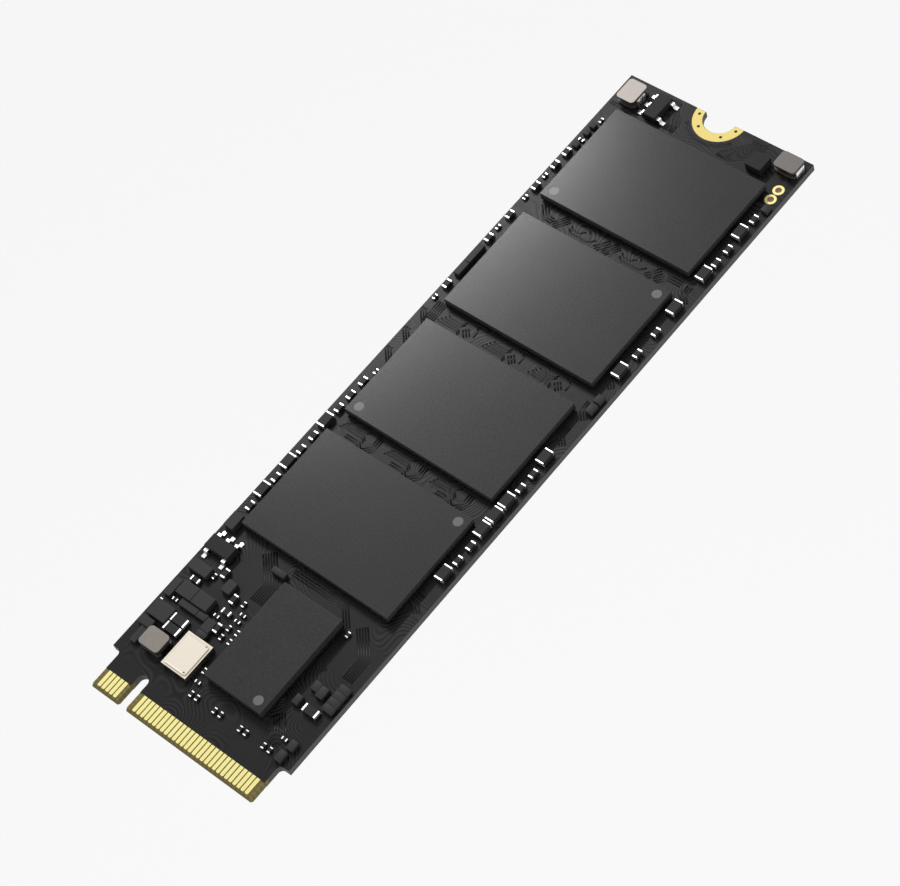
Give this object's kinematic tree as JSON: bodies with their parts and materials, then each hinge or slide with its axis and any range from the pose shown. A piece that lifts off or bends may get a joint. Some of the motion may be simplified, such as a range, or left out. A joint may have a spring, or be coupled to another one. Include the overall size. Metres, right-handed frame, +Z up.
{
  "type": "solid state drive",
  "caption": "Bare M.2 2280 solid state drive card: contact tongue with one key notch, half-round screw notch, flash packages, controller, crystal and power parts on its top face.",
  "frame": {"origin": "middle of the card on its underside (the face that lies against the host board)", "axes": "+Y along the card from the contact tongue to the screw notch, +X to the right seen from above with the screw notch away from the viewer, +Z up out of the component side"},
  "size_m": [0.022, 0.08, 0.0021],
  "materials": {
    "laminate": "bare glass-epoxy laminate, cut edge",
    "gold_plate": "gold over nickel on copper",
    "solder_mask": "satin black solder mask",
    "moulding": "fine-textured black epoxy moulding compound",
    "substrate": "dark package substrate",
    "silicon": "ground silicon",
    "ceramic": "white alumina",
    "quartz": "polished quartz",
    "lid_metal": "satin plated lid",
    "ferrite": "ground ferrite, grey",
    "enamelled_wire": "enamelled copper wire",
    "tin_plate": "bright tin plate and solder",
    "chip_moulding": "black moulding compound",
    "capacitor_ceramic": "fired ceramic, dark grey-brown"
  },
  "bodies": {
    "root": {"board_core": "laminate", "top_copper": "gold_plate", "bottom_copper": "gold_plate", "mounting_ring": "gold_plate", "test_hole_1": "gold_plate", "test_hole_2": "gold_plate", "top_solder_mask": "solder_mask", "bottom_solder_mask": "solder_mask", "flash_1_moulding": "moulding", "flash_1_die_stack": "silicon", "flash_1_substrate": "substrate", "flash_2_moulding": "moulding", "flash_2_die_stack": "silicon", "flash_2_substrate": "substrate", "flash_3_moulding": "moulding", "flash_3_die_stack": "silicon", "flash_3_substrate": "substrate", "flash_4_moulding": "moulding", "flash_4_die_stack": "silicon", "flash_4_substrate": "substrate", "controller_moulding": "moulding", "controller_die": "silicon", "controller_substrate": "substrate", "crystal_case": "ceramic", "crystal_blank": "quartz", "crystal_lid": "lid_metal", "inductor_1_core": "ferrite", "inductor_1_winding": "enamelled_wire", "inductor_2_core": "ferrite", "inductor_2_winding": "enamelled_wire", "inductor_3_core": "ferrite", "inductor_3_winding": "enamelled_wire", "regulator_1_moulding": "chip_moulding", "regulator_1_lead_frame": "tin_plate", "regulator_2_moulding": "chip_moulding", "regulator_2_lead_frame": "tin_plate", "power_manager": "chip_moulding", "load_switch": "chip_moulding", "converter_1": "chip_moulding", "converter_2": "chip_moulding", "temperature_sensor": "chip_moulding", "voltage_supervisor": "chip_moulding", "signal_buffer": "chip_moulding", "edge_array_1": "chip_moulding", "edge_array_2": "chip_moulding", "tantalum_capacitor": "chip_moulding", "capacitor_1": "capacitor_ceramic", "capacitor_2": "capacitor_ceramic", "capacitor_3": "capacitor_ceramic", "capacitor_4": "capacitor_ceramic", "capacitor_5": "capacitor_ceramic", "capacitor_6": "capacitor_ceramic", "capacitor_7": "capacitor_ceramic", "capacitor_8": "capacitor_ceramic", "capacitor_9": "capacitor_ceramic", "capacitor_10": "capacitor_ceramic", "capacitor_11": "capacitor_ceramic", "capacitor_12": "capacitor_ceramic"}
  },
  "joints": []
}
